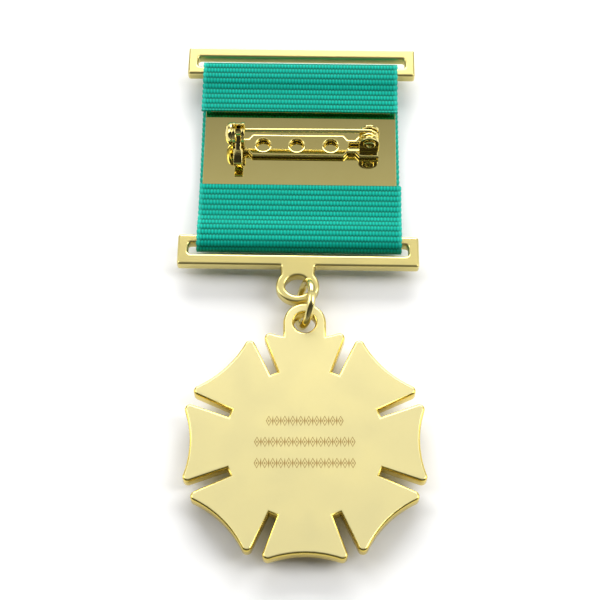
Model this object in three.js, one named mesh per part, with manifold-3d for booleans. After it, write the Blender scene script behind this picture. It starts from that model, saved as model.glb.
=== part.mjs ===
// Service medal on a barred ribbon suspension, lying front down. Millimetres.
// X runs across the ribbon, Y from the medal's centre towards the top bar, Z out of the back.
import * as THREE from 'three';
import { mergeVertices } from 'three/addons/utils/BufferGeometryUtils.js';
import Module from 'manifold-3d';

const wasm = await Module();
wasm.setup();

// ---- Driving dimensions ----
const RIBBON_WIDTH = 35;
const RIBBON_THICK = 0.5;
const RIBBON_EASE = 0.15;          // ribbon to the rail that it wraps
const TOP_FLAP = 10.6;             // from the top fold's outermost line to the free end
const LOWER_FLAP = 12.8;
const FLAP_FALL = 3.4;             // length over which a flap comes down from the bar to the plate
const FOLD_INSET = 0.55;           // fold's centre inside the wrapped rail's edge
const FLAP_HOVER = 0.7;            // underside of a flap's free end above the plate

const PLATE_LENGTH = 30;
const PLATE_THICK = 0.9;
const PLATE_EDGE_INSET = 0.6;      // plate narrower than the ribbon, each side
const PLATE_TO_BAR = 1.6;          // plate's end to the nearer rail
const PLATE_CORNER = 0.4;
const PLATE_EDGE = 0.12;
const STACK_GAP = 0.05;            // clearance between stacked sheets
const TAPE_LENGTH = 3.8;
const TAPE_FROM_END = 0.8;
const TAPE_SIDE_INSET = 1.5;

const BAR_THICK = 2.0;
const BAR_END_WALL = 1.8;
const OUTER_RAIL = 2.1;
const WRAPPED_RAIL = 1.65;
const SLOT_HEIGHT = 2.1;
const SLOT_SIDE_PLAY = 1.2;        // slot longer than the ribbon is wide, each side
const BAR_CORNER = 0.5;
const BAR_EDGE = 0.45;

const STAR_RADIUS = 20.2;          // to the rounded arm tips
const STAR_ARMS = 8;
const TIP_HALF_ANGLE = THREE.MathUtils.degToRad(17.3);
const TIP_ROUND = 0.85;
const ARM_DIP = 0.9;               // sag of each arm's concave outer edge
const SLIT_ROOT_RADIUS = 13.0;
const SLIT_ROOT_WIDTH = 1.3;
const STAR_THICK = 2.4;
const STAR_EDGE = 0.35;
const STAR_TURN = THREE.MathUtils.degToRad(0.86);

const TAB_HOLE_STAND = 2.85;       // tab hole centre beyond the arm's outer edge
const TAB_OUTER_RADIUS = 3.55;
const TAB_ROOT = 2;                // tab's root inside the arm's outer edge
const TAB_HOLE_RADIUS = 1.8;
const TAB_OFFSET_X = 1.28;         // tab hole to the suspension's centre line

const LOOP_GAP = 0.25;             // tab to bar loop, in line
const LOOP_SIDE_WALL = 1.55;       // beside the loop's hole
const LOOP_STAND = 3.75;           // loop's hole centre to the lower bar
const LOOP_PLAY_ACROSS = 1.45;     // ring's wire to the loop's hole
const LOOP_PLAY_ALONG = 1.2;
const LOOP_WALL = 1.35;            // below the loop's hole
const NECK_WIDTH = 5.7;

const RING_INNER_RADIUS = 3.1;
const RING_WIRE_RADIUS = 0.65;
const RING_LEAN = THREE.MathUtils.degToRad(73);
const RING_SLACK = 1.3;            // wire to each hole's loaded edge, along Y
const RING_X = 1.0;
const RING_SPLIT = 0.12;
const RING_SPLIT_AT = THREE.MathUtils.degToRad(62);

const ROUNDEL_RADIUS = 8.6;
const ROUNDEL_RIM = 1.1;
const ROUNDEL_EDGE = 0.12;
const FLANGE_RADIUS = 10.4;        // roundel's step against the star
const FLANGE_THICK = 0.7;
const ENAMEL_THICK = 0.55;
const ENAMEL_RECESS = 0.15;        // enamel's face below the roundel's rim
const ENAMEL_EDGE = 0.15;

const STRIP_WIDTH = 4.4;
const STRIP_THICK = 0.75;
const STRIP_NECK_WIDTH = 2.6;
const STRIP_LEFT = -8.4;
const STRIP_RIGHT = 7.7;
const STRIP_STEP = 0.7;            // length of the slant between strip and neck
const STRIP_HOLE_X = [-6.5, -0.6, 5.4];
const STRIP_HOLE_RADIUS = 1.2;
const STRIP_WINDOW = 2.0;          // window in the neck beside the hinge, along X
const STRIP_WINDOW_WIDTH = 1.25;
const STRIP_EDGE = 0.3;
const STRIP_Y = 0.6;               // strip's centre line below the middle of the plate's open field
const SOLDER_THICK = 0.06;
const SOLDER_SETBACK = 0.15;       // solder stops short of the strip's holes

const PIN_WIRE_RADIUS = 0.36;
const PIN_LINE = 0.8;              // pin's line, across from the strip's centre line
const PIN_TAPER = 2.6;
const COIL_RADIUS = 1.22;
const COIL_PITCH = 0.76;
const COIL_TURNS = 1.25;
const COIL_X = 12.1;
const COIL_HEIGHT = 3.25;          // coil axis above the plate
const EAR_RADIUS = 1.72;
const EAR_THICK = 0.55;
const EAR_EDGE = 0.12;
const HINGE_BASE_THICK = 0.4;
const COIL_PLAY = 0.16;            // rivet's shank to the coil's inside
const RIVET_HEAD_RADIUS = 1.05;
const RIVET_HEAD = 0.3;
const HINGE_GAP = 0.05;

const CATCH_INNER_X = -9.7;
const CHEEK_ACROSS = 0.58;         // cheeks' centre, across from the strip's centre line
const CHEEK_HEIGHT = 3.4;          // and above the plate
const CHEEK_RADIUS = 2.05;
const CHEEK_THICK = 0.55;
const LEG_TOP = 1.9;               // legs end this far above the plate, inside the cheeks
const SADDLE_TOP = 2.3;
const LOCK_HEIGHT = 4.3;           // lock's axis above the plate, on the pin's line
const LOCK_RADIUS = 1.2;
const LOCK_THICK = 0.9;
const LOCK_HUB_RADIUS = 0.8;
const THUMB_REACH = 6.0;
const THUMB_THICK = 0.7;
const THUMB_WIDTH = 1.5;
const THUMB_NECK = 3.25;           // from the lock's axis to where the thumb piece widens
const THUMB_DROOP = THREE.MathUtils.degToRad(23);
const MOUTH_PLAY = 0.23;           // catch's mouth wider than the pin wire
const CAP_RADIUS = 2.0;
const CAP_BULGE = 1.3;
const RUN_GAP = 0.06;              // between the lock and the cheeks

// ---- Levels and stations worked out from them ----
const slotLength = RIBBON_WIDTH + 2 * SLOT_SIDE_PLAY;
const barLength = slotLength + 2 * BAR_END_WALL;
const barHeight = OUTER_RAIL + SLOT_HEIGHT + WRAPPED_RAIL;

const tipCentre = new THREE.Vector2(Math.sin(TIP_HALF_ANGLE), Math.cos(TIP_HALF_ANGLE))
  .multiplyScalar(STAR_RADIUS - TIP_ROUND);
const armEdge = STAR_RADIUS * Math.cos(TIP_HALF_ANGLE) - ARM_DIP;
const tabHoleY = armEdge + TAB_HOLE_STAND;
const tabTop = tabHoleY + TAB_OUTER_RADIUS;
const loopHoleHalfWidth = RING_WIRE_RADIUS + LOOP_PLAY_ACROSS;
const loopHoleHalfHeight = RING_WIRE_RADIUS + LOOP_PLAY_ALONG;
const loopHalfWidth = loopHoleHalfWidth + LOOP_SIDE_WALL;
const loopBottom = tabTop + LOOP_GAP;
const loopHoleBottom = loopBottom + LOOP_WALL;
const loopHoleY = loopHoleBottom + loopHoleHalfHeight;
const lowerBarY = loopHoleY + LOOP_STAND;
const lowerRailY = lowerBarY + OUTER_RAIL + SLOT_HEIGHT;
const plateY = lowerRailY + WRAPPED_RAIL + PLATE_TO_BAR;
const topRailY = plateY + PLATE_LENGTH + PLATE_TO_BAR;
const topBarY = topRailY + WRAPPED_RAIL + SLOT_HEIGHT + OUTER_RAIL;

const tabHoleTop = tabHoleY + TAB_HOLE_RADIUS;
const ringY = (tabHoleTop + loopHoleBottom) / 2;
const ringRadius = RING_INNER_RADIUS + RING_WIRE_RADIUS;
const ringHalfChord = (loopHoleBottom - tabHoleTop) / 2 + RING_WIRE_RADIUS + RING_SLACK;
const ringRise = Math.sin(RING_LEAN) * Math.sqrt(ringRadius ** 2 - ringHalfChord ** 2);
const midPlane = ringRadius * Math.sin(RING_LEAN) + RING_WIRE_RADIUS - ringRise;

const barFront = midPlane - BAR_THICK / 2;
const barBack = midPlane + BAR_THICK / 2;
const ribbonBack = barFront - RIBBON_EASE;
const plateFront = ribbonBack + STACK_GAP;
const plateBack = plateFront + PLATE_THICK;
const foldRadius = BAR_THICK / 2 + RIBBON_EASE + RIBBON_THICK / 2;
const starBack = midPlane + STAR_THICK / 2;
const starFront = midPlane - STAR_THICK / 2;

const lowerFoldY = lowerRailY + FOLD_INSET;
const topFoldY = topRailY + WRAPPED_RAIL - FOLD_INSET;
const foldReach = foldRadius + RIBBON_THICK / 2;
const lowerFlapEnd = lowerFoldY - foldReach + LOWER_FLAP;
const topFlapEnd = topFoldY + foldReach - TOP_FLAP;
const stripY = (lowerFlapEnd + topFlapEnd) / 2 + STRIP_Y;

const stripBack = plateBack + 3 * STACK_GAP + SOLDER_THICK + STRIP_THICK;
const catchOuterX = CATCH_INNER_X - (2 * CHEEK_THICK + LOCK_THICK + 2 * RUN_GAP);
const lockX = catchOuterX + CHEEK_THICK + RUN_GAP;
const cheekZ = plateBack + CHEEK_HEIGHT;
const lockZ = plateBack + LOCK_HEIGHT;
const coilZ = plateBack + COIL_HEIGHT;
const rivetRadius = COIL_RADIUS - PIN_WIRE_RADIUS - COIL_PLAY;
const mouthWidth = 2 * PIN_WIRE_RADIUS + MOUTH_PLAY;
const coilFront = PIN_LINE - COIL_TURNS * COIL_PITCH - PIN_WIRE_RADIUS;
const coilBack = PIN_LINE + PIN_WIRE_RADIUS;

// ---- Finishes ----
const gilt = () => new THREE.MeshStandardMaterial({ color: 0xd0c080, roughness: 0.28, metalness: 1 });
const polishedGilt = () => new THREE.MeshStandardMaterial({ color: 0xb0a468, roughness: 0.08, metalness: 1 });
const frostedGilt = () => new THREE.MeshStandardMaterial({ color: 0xdcd292, roughness: 0.5, metalness: 1 });
const grosgrain = () => new THREE.MeshStandardMaterial({ color: 0x00b39a, roughness: 0.85, metalness: 0 });
const enamel = () => new THREE.MeshStandardMaterial({ color: 0x0a7f73, roughness: 0.12, metalness: 0 });
const tape = () => new THREE.MeshStandardMaterial({ color: 0xe8e4d8, roughness: 0.8, metalness: 0 });
const solder = () => new THREE.MeshStandardMaterial({ color: 0x9a988f, roughness: 0.45, metalness: 1 });

// ---- Solids ----
// A closed, indexed copy that holds positions only, without collapsed triangles.
function weld(geometry) {
  geometry.deleteAttribute('normal');
  geometry.deleteAttribute('uv');
  const merged = mergeVertices(geometry, 1e-4);
  const index = merged.index.array;
  const kept = [];
  for (let i = 0; i < index.length; i += 3) {
    const [a, b, c] = index.slice(i, i + 3);
    if (a !== b && b !== c && c !== a) kept.push(a, b, c);
  }
  merged.setIndex(kept);
  return merged;
}

function toManifold(geometry) {
  const merged = weld(geometry);
  return new wasm.Manifold(new wasm.Mesh({
    numProp: 3,
    vertProperties: new Float32Array(merged.attributes.position.array),
    triVerts: new Uint32Array(merged.index.array),
  }));
}

function toGeometry(body) {
  const mesh = body.getMesh();
  const geometry = new THREE.BufferGeometry();
  geometry.setAttribute('position', new THREE.BufferAttribute(mesh.vertProperties, 3));
  geometry.setIndex(new THREE.BufferAttribute(mesh.triVerts, 1));
  geometry.computeVertexNormals();
  return geometry;
}

function combine(base, { add = [], cut = [] }) {
  let body = toManifold(base);
  for (const piece of add) body = body.add(toManifold(piece));
  for (const piece of cut) body = body.subtract(toManifold(piece));
  return toGeometry(body);
}

// A flat outline given thickness along Z, with its edges eased.
function slab(outline, low, high, edge = 0, curveSegments = 10) {
  const geometry = new THREE.ExtrudeGeometry(outline, {
    depth: high - low - 2 * edge,
    bevelEnabled: edge > 0,
    bevelThickness: edge,
    bevelSize: edge,
    bevelOffset: -edge,
    bevelSegments: 2,
    curveSegments,
  });
  return geometry.translate(0, 0, low + edge);
}

// An outline drawn in Y and Z, given thickness along X from x = low.
const alongX = (outline, low, high, curveSegments = 10) =>
  slab(outline, low, high, 0, curveSegments).applyMatrix4(new THREE.Matrix4().makeBasis(
    new THREE.Vector3(0, 1, 0), new THREE.Vector3(0, 0, 1), new THREE.Vector3(1, 0, 0)));

function rectangle(left, bottom, right, top) {
  return new THREE.Shape([
    new THREE.Vector2(left, bottom), new THREE.Vector2(right, bottom),
    new THREE.Vector2(right, top), new THREE.Vector2(left, top),
  ]);
}

function disc(x, y, radius) {
  return new THREE.Shape().absarc(x, y, radius, 0, 2 * Math.PI, false);
}

function oval(x, y, halfWidth, halfHeight) {
  return new THREE.Shape().absellipse(x, y, halfWidth, halfHeight, 0, 2 * Math.PI, false);
}

function box(x0, x1, y0, y1, z0, z1) {
  return new THREE.BoxGeometry(x1 - x0, y1 - y0, z1 - z0)
    .translate((x0 + x1) / 2, (y0 + y1) / 2, (z0 + z1) / 2);
}

// ---- Ribbon suspension ----
function roundedRectangle(halfWidth, bottom, top, radius) {
  const shape = new THREE.Shape();
  shape.absarc(halfWidth - radius, bottom + radius, radius, -Math.PI / 2, 0, false);
  shape.absarc(halfWidth - radius, top - radius, radius, 0, Math.PI / 2, false);
  shape.absarc(radius - halfWidth, top - radius, radius, Math.PI / 2, Math.PI, false);
  shape.absarc(radius - halfWidth, bottom + radius, radius, Math.PI, 1.5 * Math.PI, false);
  return shape;
}

// A slotted bar from y = 0, with its outer rail first and its wrapped rail last.
function barOutline() {
  const outline = roundedRectangle(barLength / 2, 0, barHeight, BAR_CORNER);
  outline.holes.push(rectangle(-slotLength / 2, OUTER_RAIL, slotLength / 2, OUTER_RAIL + SLOT_HEIGHT));
  return outline;
}

function topBar() {
  return slab(barOutline(), barFront, barBack, BAR_EDGE, 4).rotateZ(Math.PI).translate(0, topBarY, 0);
}

function lowerBar() {
  const bar = slab(barOutline(), barFront, barBack, BAR_EDGE, 4).translate(0, lowerBarY, 0);
  const loop = slab(oval(0, loopHoleY, loopHalfWidth, loopHoleHalfHeight + LOOP_WALL),
    barFront, barBack, BAR_EDGE, 20);
  const neck = slab(rectangle(-NECK_WIDTH / 2, loopHoleY + loopHoleHalfHeight, NECK_WIDTH / 2,
    lowerBarY + OUTER_RAIL / 2), barFront, barBack, BAR_EDGE);
  const hole = slab(oval(0, loopHoleY, loopHoleHalfWidth, loopHoleHalfHeight),
    barFront - 1, barBack + 1, 0, 16);
  return combine(bar, { add: [loop, neck], cut: [hole] });
}

// Both sides of a strip that follows a centre line.
function stripSection(line, thick) {
  const sides = [[], []];
  line.forEach((point, i) => {
    const before = line[Math.max(i - 1, 0)];
    const after = line[Math.min(i + 1, line.length - 1)];
    const along = after.clone().sub(before).normalize();
    const across = new THREE.Vector2(-along.y, along.x).multiplyScalar(thick / 2);
    sides[0].push(point.clone().add(across));
    sides[1].push(point.clone().sub(across));
  });
  return new THREE.Shape([...sides[1], ...sides[0].reverse()]);
}

// The flap's height falls from the bar's back to just above the plate.
function flapLine(foldY, endY) {
  const bearing = midPlane + foldRadius;
  const resting = plateBack + FLAP_HOVER + RIBBON_THICK / 2;
  const direction = Math.sign(endY - foldY);
  const start = foldY + direction * (WRAPPED_RAIL + RIBBON_EASE);
  const finish = start + direction * FLAP_FALL;
  const points = [];
  for (let i = 0; i <= 8; i++) {
    const t = i / 8;
    const eased = t * t * (3 - 2 * t);
    points.push(new THREE.Vector2(start + (finish - start) * t, bearing + (resting - bearing) * eased));
  }
  points.push(new THREE.Vector2(endY, resting));
  return points;
}

function foldLine(foldY, from, to) {
  const points = [];
  for (let i = 0; i <= 12; i++) {
    const angle = from + (to - from) * (i / 12);
    points.push(new THREE.Vector2(foldRadius, 0).rotateAround(new THREE.Vector2(0, 0), angle)
      .add(new THREE.Vector2(foldY, midPlane)));
  }
  return points;
}

function ribbon() {
  const line = [
    ...flapLine(lowerFoldY, lowerFlapEnd).reverse(),
    ...foldLine(lowerFoldY, Math.PI / 2, 1.5 * Math.PI),
    ...foldLine(topFoldY, -Math.PI / 2, Math.PI / 2),
    ...flapLine(topFoldY, topFlapEnd),
  ];
  return alongX(stripSection(line, RIBBON_THICK), -RIBBON_WIDTH / 2, RIBBON_WIDTH / 2);
}

function backingPlate() {
  const halfWidth = RIBBON_WIDTH / 2 - PLATE_EDGE_INSET;
  const outline = roundedRectangle(halfWidth, plateY, plateY + PLATE_LENGTH, PLATE_CORNER);
  return slab(outline, plateFront, plateBack, PLATE_EDGE, 4);
}

// Foam tape between the plate and a flap, from near the flap's free end.
function tapePad(flapEnd, direction) {
  const low = plateBack + STACK_GAP;
  const near = flapEnd - direction * TAPE_FROM_END;
  const far = near - direction * TAPE_LENGTH;
  const halfWidth = RIBBON_WIDTH / 2 - TAPE_SIDE_INSET;
  const high = low + FLAP_HOVER - 2 * STACK_GAP;
  return box(-halfWidth, halfWidth, Math.min(near, far), Math.max(near, far), low, high);
}

// ---- Pin, hinge and catch, around the strip's centre line ----
function stripOutline(inset) {
  const wide = STRIP_WIDTH / 2 - inset;
  const narrow = STRIP_NECK_WIDTH / 2 - inset;
  const hingeLeft = COIL_X - EAR_RADIUS;
  const side = [
    [catchOuterX + inset, narrow], [STRIP_LEFT - STRIP_STEP, narrow], [STRIP_LEFT, wide], [STRIP_RIGHT, wide],
    [STRIP_RIGHT + STRIP_STEP, narrow], [hingeLeft - STRIP_STEP, narrow], [hingeLeft, wide],
    [COIL_X + EAR_RADIUS - inset, wide],
  ];
  const corners = [...side.map(([x, y]) => [x, -y]), ...side.reverse()];
  return new THREE.Shape(corners.map(([x, y]) => new THREE.Vector2(x, y)));
}

// The strip's three holes and its window, each larger all round by so much.
function stripHoles(margin) {
  const left = STRIP_RIGHT + STRIP_STEP + STRIP_EDGE - margin;
  const right = left + STRIP_WINDOW + 2 * margin;
  const half = STRIP_WINDOW_WIDTH / 2 + margin;
  const holes = STRIP_HOLE_X.map((x) => disc(x, 0, STRIP_HOLE_RADIUS + margin));
  return [...holes, rectangle(left, -half, right, half)];
}

function pinStrip() {
  const outline = stripOutline(0);
  outline.holes.push(...stripHoles(0));
  return slab(outline, stripBack - STRIP_THICK, stripBack, STRIP_EDGE, 16);
}

function solderFilm() {
  const low = plateBack + STACK_GAP;
  const outline = stripOutline(STRIP_EDGE);
  outline.holes.push(...stripHoles(SOLDER_SETBACK));
  return slab(outline, low, low + SOLDER_THICK);
}

// Turns a shape drawn in X and Z so that its thickness runs along -Y from y = 0.
const standUp = (geometry) => geometry.rotateX(Math.PI / 2);

// A bent bracket: two round-topped ears on one base, with the coil between them.
function hingeLug() {
  const foot = stripBack + STACK_GAP;
  const ear = (back) => {
    const outline = new THREE.Shape();
    outline.moveTo(COIL_X - EAR_RADIUS, foot);
    outline.lineTo(COIL_X + EAR_RADIUS, foot);
    outline.absarc(COIL_X, coilZ, EAR_RADIUS, 0, Math.PI, false);
    outline.holes.push(disc(COIL_X, coilZ, rivetRadius + HINGE_GAP));
    return standUp(slab(outline, 0, EAR_THICK, EAR_EDGE, 14)).translate(0, back, 0);
  };
  const front = coilFront - HINGE_GAP;
  const back = coilBack + HINGE_GAP;
  const base = box(COIL_X - EAR_RADIUS + EAR_EDGE, COIL_X + EAR_RADIUS - EAR_EDGE, front - EAR_THICK / 2,
    back + EAR_THICK / 2, foot, foot + HINGE_BASE_THICK);
  return combine(base, { add: [ear(front), ear(back + EAR_THICK)] });
}

function hingeRivet() {
  const near = coilFront - EAR_THICK - 2 * HINGE_GAP;
  const far = coilBack + EAR_THICK + 2 * HINGE_GAP;
  const crown = RIVET_HEAD_RADIUS * 0.7;
  const profile = [
    [0, near - RIVET_HEAD], [crown, near - RIVET_HEAD], [RIVET_HEAD_RADIUS, near - RIVET_HEAD / 2],
    [RIVET_HEAD_RADIUS, near], [rivetRadius, near], [rivetRadius, far], [RIVET_HEAD_RADIUS, far],
    [RIVET_HEAD_RADIUS, far + RIVET_HEAD / 2], [crown, far + RIVET_HEAD], [0, far + RIVET_HEAD],
  ];
  const points = profile.map(([radius, y]) => new THREE.Vector2(radius, y));
  return weld(new THREE.LatheGeometry(points, 24)).translate(COIL_X, 0, coilZ);
}

// The coil's turns, then the stem's easy bow to the catch and its tapered point.
function pinWire() {
  const tipX = catchOuterX + CHEEK_THICK / 2;
  const points = [];
  const coilSteps = 44;
  const sweep = 2 * Math.PI * COIL_TURNS;
  for (let i = 0; i <= coilSteps; i++) {
    const share = i / coilSteps;
    const angle = Math.PI / 2 - sweep * (1 - share);
    points.push(new THREE.Vector3(
      COIL_X + COIL_RADIUS * Math.cos(angle), PIN_LINE - COIL_PITCH * COIL_TURNS * (1 - share),
      coilZ + COIL_RADIUS * Math.sin(angle)));
  }
  const root = points[points.length - 1];
  const stemEnd = new THREE.Vector3(tipX + PIN_TAPER, PIN_LINE, lockZ);
  const bow = (stemEnd.x - root.x) / 3;
  const stem = new THREE.CubicBezierCurve3(root, root.clone().add(new THREE.Vector3(bow, 0, 0)),
    stemEnd.clone().add(new THREE.Vector3(-bow, 0, 0)), stemEnd);
  points.push(...stem.getPoints(14).slice(1));
  const wire = new THREE.ExtrudeGeometry(disc(0, 0, PIN_WIRE_RADIUS), {
    extrudePath: new THREE.CatmullRomCurve3(points), steps: 80, bevelEnabled: false, curveSegments: 5,
  });
  const overlap = 0.3;
  const tip = new THREE.CylinderGeometry(0.08, PIN_WIRE_RADIUS * 0.99, PIN_TAPER + overlap, 10)
    .rotateZ(Math.PI / 2).translate(stemEnd.x - (PIN_TAPER - overlap) / 2, PIN_LINE, lockZ);
  return combine(wire, { add: [tip] });
}

// The slot that the pin drops through, open at the top.
const mouth = (low) => box(catchOuterX - 1, CATCH_INNER_X + 1, PIN_LINE - mouthWidth / 2,
  PIN_LINE + mouthWidth / 2, low, cheekZ + CHEEK_RADIUS + 1);

// The catch stands on the strip's left neck: two cheeks on a shared foot.
function catchBracket() {
  const foot = stripBack + STACK_GAP;
  const neckHalf = STRIP_NECK_WIDTH / 2;
  const cheek = (x) => alongX(disc(CHEEK_ACROSS, cheekZ, CHEEK_RADIUS), x, x + CHEEK_THICK, 16);
  const leg = (x) => box(x, x + CHEEK_THICK, -neckHalf, neckHalf, foot, plateBack + LEG_TOP);
  const saddle = box(catchOuterX, CATCH_INNER_X, -neckHalf, neckHalf, foot, plateBack + SADDLE_TOP);
  const bore = alongX(disc(PIN_LINE, lockZ, LOCK_HUB_RADIUS + RUN_GAP), catchOuterX - 1, CATCH_INNER_X + 1, 14);
  const sides = [catchOuterX, CATCH_INNER_X - CHEEK_THICK];
  return combine(saddle, { add: [...sides.map(cheek), ...sides.map(leg)], cut: [bore, mouth(lockZ)] });
}

// A slotted wheel on a hub that turns in the cheeks, with a thumb piece that widens outside them.
function safetyLock() {
  const wheel = alongX(disc(0, 0, LOCK_RADIUS), lockX, lockX + LOCK_THICK, 16);
  const hub = alongX(disc(0, 0, LOCK_HUB_RADIUS), catchOuterX + STACK_GAP, CATCH_INNER_X, 14);
  const neck = box(lockX, lockX + LOCK_THICK, -THUMB_NECK - THUMB_THICK, 0, -THUMB_THICK / 2, THUMB_THICK / 2);
  const side = (THUMB_WIDTH - LOCK_THICK) / 2;
  const thumb = box(lockX - side, lockX + LOCK_THICK + side, -THUMB_REACH, -THUMB_NECK, -THUMB_THICK / 2,
    THUMB_THICK / 2);
  for (const piece of [neck, thumb]) piece.rotateX(THUMB_DROOP);
  for (const piece of [wheel, hub, neck, thumb]) piece.translate(0, PIN_LINE, lockZ);
  return combine(wheel, { add: [hub, neck, thumb], cut: [mouth(lockZ - mouthWidth / 2)] });
}

function catchCap() {
  const points = [new THREE.Vector2(0, 0)];
  for (let i = 0; i < 8; i++) {
    const angle = (i / 8) * (Math.PI / 2);
    points.push(new THREE.Vector2(CAP_RADIUS * Math.cos(angle), CAP_BULGE * Math.sin(angle)));
  }
  points.push(new THREE.Vector2(0, CAP_BULGE));
  return weld(new THREE.LatheGeometry(points, 28)).rotateZ(Math.PI / 2)
    .translate(catchOuterX - STACK_GAP, CHEEK_ACROSS, cheekZ);
}

// ---- Ring and medal ----
function jumpRing() {
  const wire = new THREE.TorusGeometry(ringRadius, RING_WIRE_RADIUS, 10, 36);
  const split = box(0, ringRadius * 2, -RING_SPLIT / 2, RING_SPLIT / 2, -2, 2)
    .rotateZ(RING_SPLIT_AT);
  return combine(wire, { cut: [split] });
}

// The right-hand end of an arm's slit side, for an arm on the +Y axis.
const slitAngle = Math.PI / STAR_ARMS;
const armRoot = new THREE.Vector2(
  SLIT_ROOT_RADIUS * Math.sin(slitAngle) - (SLIT_ROOT_WIDTH / 2) * Math.cos(slitAngle),
  SLIT_ROOT_RADIUS * Math.cos(slitAngle) + (SLIT_ROOT_WIDTH / 2) * Math.sin(slitAngle));

// One arm's outline, turned from the +Y axis, from its right slit to its left slit.
function addArm(outline, turn) {
  const place = (x, y) => new THREE.Vector2(x, y).rotateAround(new THREE.Vector2(0, 0), turn);
  const toTip = tipCentre.clone().sub(armRoot);
  const flank = toTip.angle() - Math.asin(TIP_ROUND / toTip.length());
  const dipHeight = armEdge - tipCentre.y;
  const dipRadius = (tipCentre.x ** 2 + dipHeight ** 2 - TIP_ROUND ** 2) / (2 * (TIP_ROUND - dipHeight));
  const dipCentreY = armEdge + dipRadius;
  const toDip = Math.atan2(dipCentreY - tipCentre.y, -tipCentre.x);
  const right = place(tipCentre.x, tipCentre.y);
  const left = place(-tipCentre.x, tipCentre.y);
  const dip = place(0, dipCentreY);
  const start = place(armRoot.x, armRoot.y);
  const end = place(-armRoot.x, armRoot.y);
  outline.lineTo(start.x, start.y);
  outline.absarc(right.x, right.y, TIP_ROUND, flank - Math.PI / 2 + turn, toDip + turn, false);
  outline.absarc(dip.x, dip.y, dipRadius, toDip - Math.PI + turn, -toDip + turn, true);
  outline.absarc(left.x, left.y, TIP_ROUND, Math.PI - toDip + turn, 1.5 * Math.PI - flank + turn, false);
  outline.lineTo(end.x, end.y);
}

function medalBody() {
  const outline = new THREE.Shape();
  outline.moveTo(armRoot.x, armRoot.y);
  for (let arm = 0; arm < STAR_ARMS; arm++) addArm(outline, (arm * 2 * Math.PI) / STAR_ARMS);
  const star = slab(outline, starFront, starBack, STAR_EDGE, 3);
  const tabFoot = armEdge - TAB_ROOT;
  const tabShape = new THREE.Shape();
  tabShape.moveTo(-TAB_OUTER_RADIUS, tabFoot);
  tabShape.lineTo(TAB_OUTER_RADIUS, tabFoot);
  tabShape.absarc(0, tabHoleY, TAB_OUTER_RADIUS, 0, Math.PI, false);
  const tab = slab(tabShape, starFront, starBack, STAR_EDGE, 20);
  const hole = slab(disc(0, tabHoleY, TAB_HOLE_RADIUS), starFront - 1, starBack + 1, 0, 16);
  return combine(star, { add: [tab], cut: [hole] });
}

// A profile of [radius, height] points turned about Z.
const turned = (points) => weld(new THREE.LatheGeometry(
  points.map(([radius, z]) => new THREE.Vector2(radius, z)), 48)).rotateX(Math.PI / 2);

// A struck roundel on the medal's front: a flange, a rim that the medal lies on and a dished field.
function frontRoundel() {
  const top = starFront - STACK_GAP;
  const step = top - FLANGE_THICK;
  const floor = ENAMEL_THICK + ENAMEL_RECESS + STACK_GAP;
  const inner = ROUNDEL_RADIUS - ROUNDEL_RIM;
  const points = [
    [0, floor], [inner, floor], [inner, ROUNDEL_EDGE], [inner + ROUNDEL_EDGE, 0],
    [ROUNDEL_RADIUS - 2 * ROUNDEL_EDGE, 0], [ROUNDEL_RADIUS, 2 * ROUNDEL_EDGE], [ROUNDEL_RADIUS, step],
    [FLANGE_RADIUS - ROUNDEL_EDGE, step], [FLANGE_RADIUS, step + ROUNDEL_EDGE], [FLANGE_RADIUS, top], [0, top],
  ];
  return turned(points);
}

function enamelDisc() {
  const radius = ROUNDEL_RADIUS - ROUNDEL_RIM - STACK_GAP;
  const low = ENAMEL_RECESS;
  const high = low + ENAMEL_THICK;
  const points = [[0, low], [radius - ENAMEL_EDGE, low], [radius, low + ENAMEL_EDGE], [radius, high], [0, high]];
  return turned(points);
}

// ---- Assembly ----
function add(group, name, geometry, material) {
  const mesh = new THREE.Mesh(geometry, material);
  mesh.name = name;
  group.add(mesh);
  return mesh;
}

const suspension = new THREE.Group();
add(suspension, 'backing_plate', backingPlate(), polishedGilt());
add(suspension, 'ribbon', ribbon(), grosgrain());
add(suspension, 'top_bar', topBar(), gilt());
add(suspension, 'lower_bar', lowerBar(), gilt());
add(suspension, 'tape_pad_top', tapePad(topFlapEnd, -1), tape());
add(suspension, 'tape_pad_lower', tapePad(lowerFlapEnd, 1), tape());

const pinGroup = new THREE.Group();
pinGroup.position.y = stripY;
add(pinGroup, 'solder_film', solderFilm(), solder());
add(pinGroup, 'pin_strip', pinStrip(), gilt());
add(pinGroup, 'hinge_lug', hingeLug(), gilt());
add(pinGroup, 'hinge_rivet', hingeRivet(), gilt());
add(pinGroup, 'pin_wire', pinWire(), gilt());
add(pinGroup, 'catch_bracket', catchBracket(), gilt());
add(pinGroup, 'safety_lock', safetyLock(), gilt());
add(pinGroup, 'catch_cap', catchCap(), gilt());
suspension.add(pinGroup);

const ring = new THREE.Group();
const ringLift = ringRise / Math.sin(RING_LEAN);
ring.position.set(RING_X + ringLift * Math.cos(RING_LEAN), ringY, midPlane + ringRise);
ring.rotation.y = -RING_LEAN;
add(ring, 'jump_ring', jumpRing(), gilt());

const medal = new THREE.Group();
medal.position.set(TAB_OFFSET_X + tabHoleY * Math.sin(STAR_TURN), tabHoleY * (1 - Math.cos(STAR_TURN)), 0);
medal.rotation.z = STAR_TURN;
add(medal, 'medal_body', medalBody(), frostedGilt());
add(medal, 'front_roundel', frontRoundel(), gilt());
add(medal, 'enamel_disc', enamelDisc(), enamel());

const serviceMedal = new THREE.Group();
serviceMedal.add(suspension, ring, medal);

// The origin goes to the middle of the underside.
const extent = new THREE.Box3().setFromObject(serviceMedal, true);
const middle = extent.getCenter(new THREE.Vector3());
serviceMedal.position.set(-middle.x, -middle.y, -extent.min.z);
serviceMedal.updateMatrixWorld(true);

export default serviceMedal;
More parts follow.
